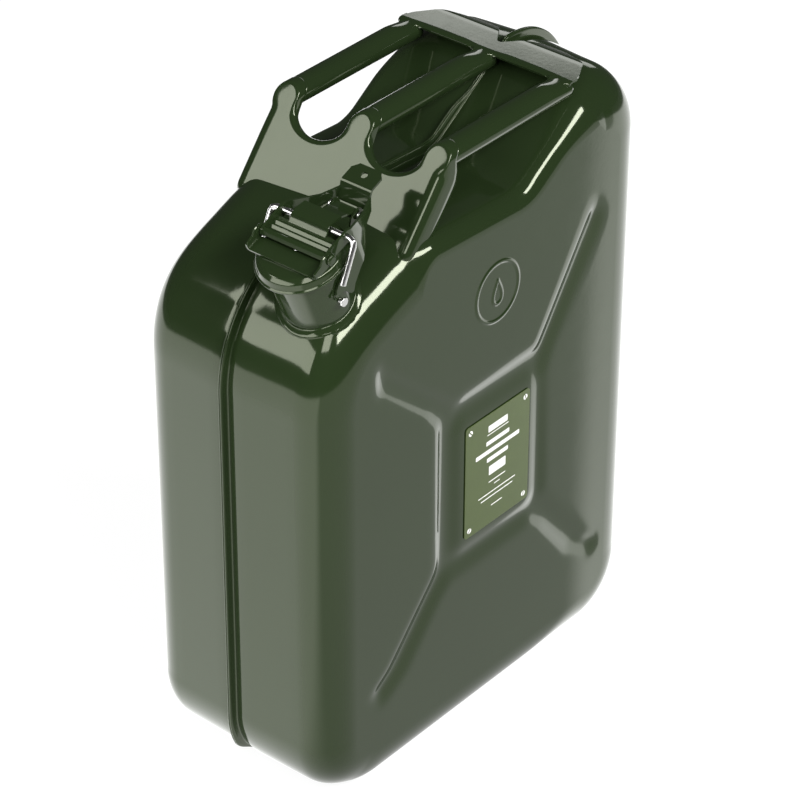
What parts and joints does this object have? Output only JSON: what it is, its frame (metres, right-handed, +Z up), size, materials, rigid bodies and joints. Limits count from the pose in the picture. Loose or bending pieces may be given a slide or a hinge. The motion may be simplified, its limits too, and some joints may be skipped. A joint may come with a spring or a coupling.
{
  "type": "jerry can",
  "caption": "Flat-sided steel fuel can with a seam flange, triple handle bars, tilted filling neck and a lever-locked hinged cap.",
  "frame": {"origin": "centre of the can's footprint, on the plane it stands on", "axes": "+X from the filling neck to the rear, +Y across the can to its left, +Z up"},
  "size_m": [0.3574, 0.1664, 0.4678],
  "materials": {
    "body_right": "glossy dark green paint",
    "body_left": "glossy dark green paint",
    "handle_plate_front": "glossy dark green paint",
    "bar_right": "glossy dark green paint",
    "bar_center": "glossy dark green paint",
    "bar_left": "glossy dark green paint",
    "handle_plate_rear": "glossy dark green paint",
    "label": "satin olive print",
    "neck": "glossy dark green paint",
    "collar": "glossy dark green paint over a weld",
    "breather": "plain drawn tube",
    "bracket": "glossy dark green paint",
    "stud_left": "zinc plated",
    "stud_right": "zinc plated",
    "pin": "zinc plated",
    "cap": "glossy dark green paint",
    "gasket": "black nitrile rubber",
    "retainer": "zinc plated",
    "rivet": "zinc plated",
    "bridge": "glossy dark green paint",
    "strap": "glossy dark green paint",
    "pivot_left": "painted over zinc",
    "pivot_right": "painted over zinc",
    "lever": "glossy dark green paint",
    "bail": "bright zinc plated wire"
  },
  "bodies": {
    "can": {"body_half_right": "body_right", "body_half_left": "body_left", "handle_front_plate": "handle_plate_front", "handle_bar_right": "bar_right", "handle_bar_center": "bar_center", "handle_bar_left": "bar_left", "handle_rear_plate": "handle_plate_rear", "label_plate": "label", "neck_tube": "neck", "neck_collar": "collar", "breather_tube": "breather", "neck_bracket": "bracket", "catch_stud_left": "stud_left", "catch_stud_right": "stud_right", "hinge_pin": "pin"},
    "cap": {"cap_shell": "cap", "cap_gasket": "gasket", "gasket_retainer": "retainer", "retainer_rivet": "rivet", "cap_bridge": "bridge", "hinge_strap": "strap", "pivot_rivet_left": "pivot_left", "pivot_rivet_right": "pivot_right"},
    "lever": {"closure_lever": "lever"},
    "bail": {"locking_bail": "bail"}
  },
  "joints": [
    {"name": "cap_hinge", "type": "hinge", "parent": "can", "child": "cap", "pos_m": [-0.10304, -0.043, 0.44275], "axis": [0, 1, 0], "range_deg": [0, 80]},
    {"name": "lever_pivot", "type": "hinge", "parent": "cap", "child": "lever", "pos_m": [-0.15085, -0.043, 0.43962], "axis": [0, -1, 0], "range_deg": [0, 75]},
    {"name": "bail_swing", "type": "hinge", "parent": "lever", "child": "bail", "pos_m": [-0.13389, -0.043, 0.44755], "axis": [0, 1, 0], "range_deg": [0, 60]}
  ]
}
